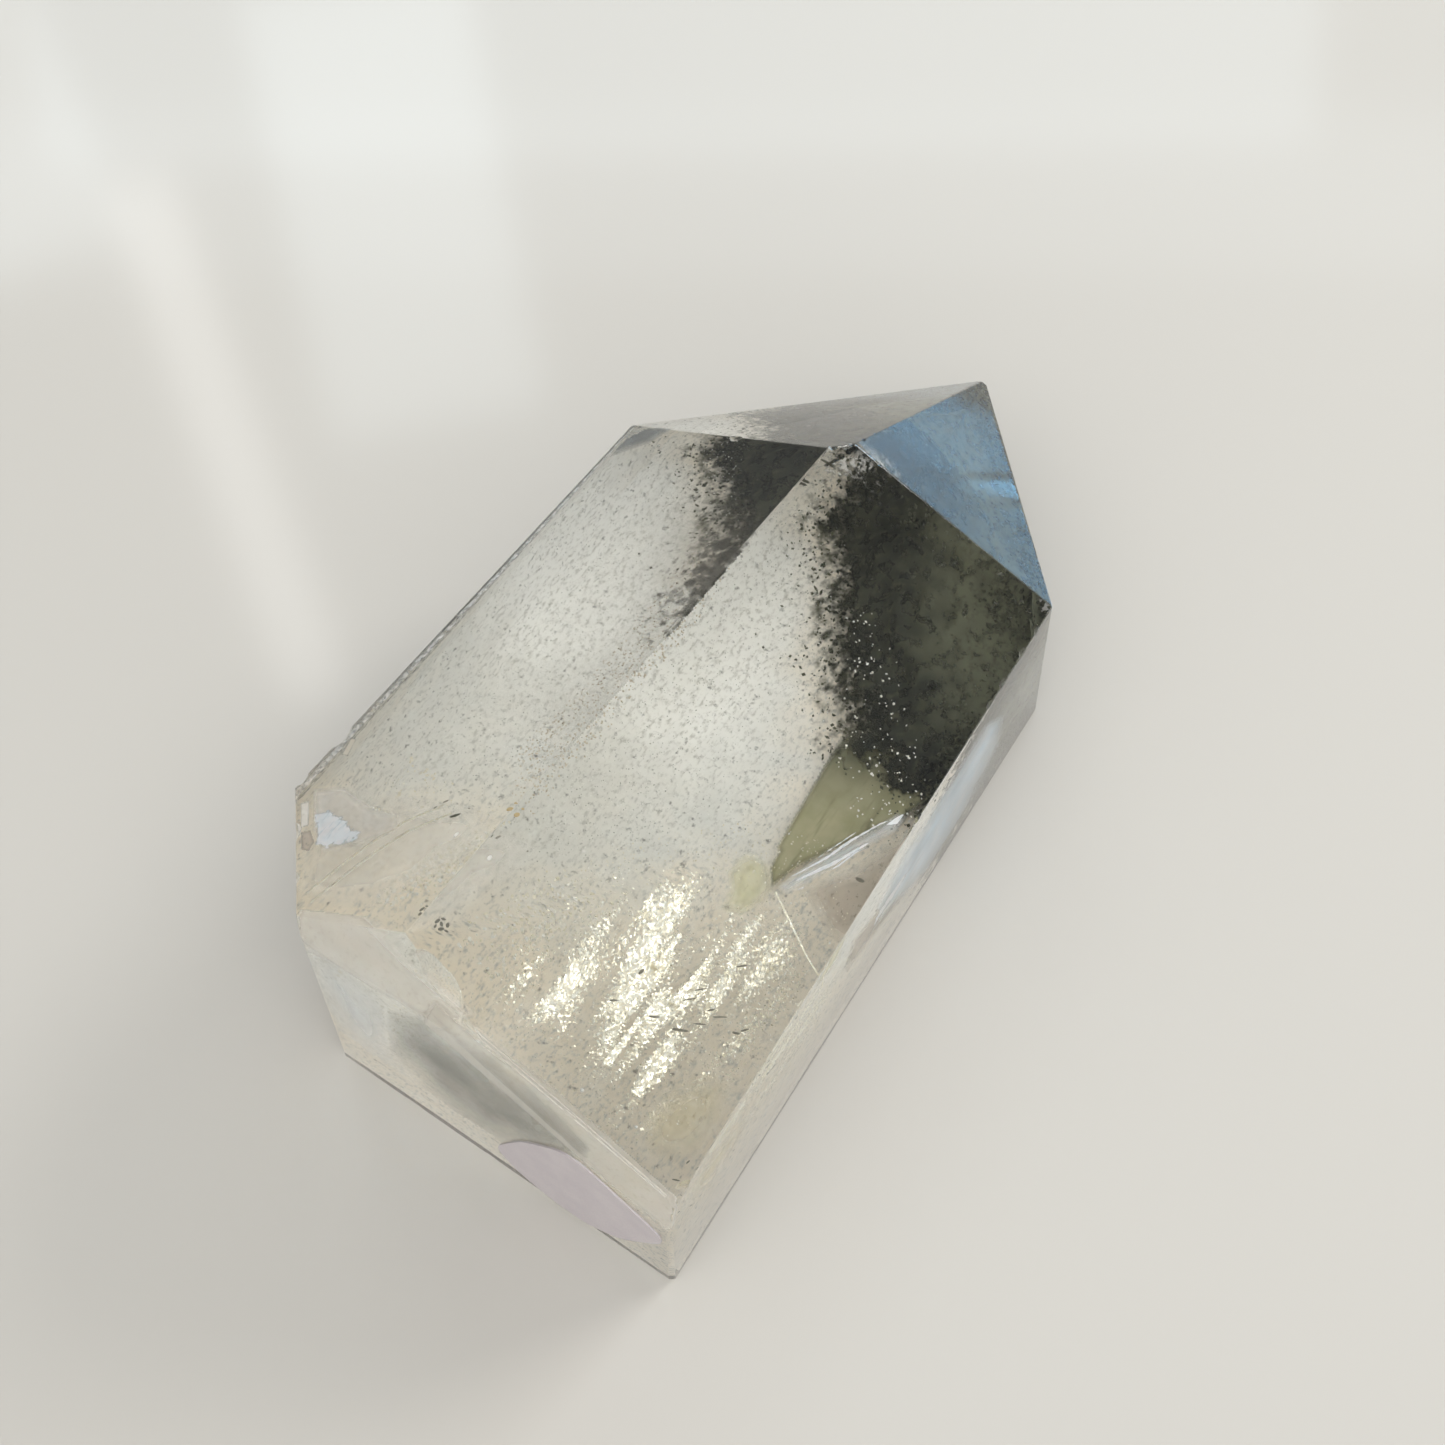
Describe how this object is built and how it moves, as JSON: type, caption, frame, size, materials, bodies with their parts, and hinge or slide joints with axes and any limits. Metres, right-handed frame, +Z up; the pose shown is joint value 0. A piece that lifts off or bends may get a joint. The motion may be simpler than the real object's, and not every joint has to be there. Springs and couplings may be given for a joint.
{
  "type": "garden quartz tower",
  "caption": "Polished clear quartz tower with dark green mineral inclusions in its point, lying on a flat face, with a small paper label on its base.",
  "frame": {"origin": "under the middle of the stone's box, on the surface that it lies on", "axes": "+Y along the stone from its flat base to its point, +Z up from the face it lies on, +X to the right of someone who looks from the base to the point"},
  "size_m": [0.0544, 0.1004, 0.041],
  "materials": {
    "clear_quartz": "clear quartz with a faint warm grey tint, hand-polished flat faces",
    "chlorite": "dull dark green-black mineral flakes grown inside the quartz",
    "mineral_veil": "fine pale grey speckle grown inside the quartz",
    "inner_fracture": "bright glittering healed fracture inside the quartz",
    "iron_stain": "pale yellow to orange-brown iron stain inside the quartz",
    "label_paper": "uncoated pinkish-white paper"
  },
  "bodies": {
    "root": {"quartz_tower": "clear_quartz", "paper_label": "label_paper"}
  },
  "joints": []
}
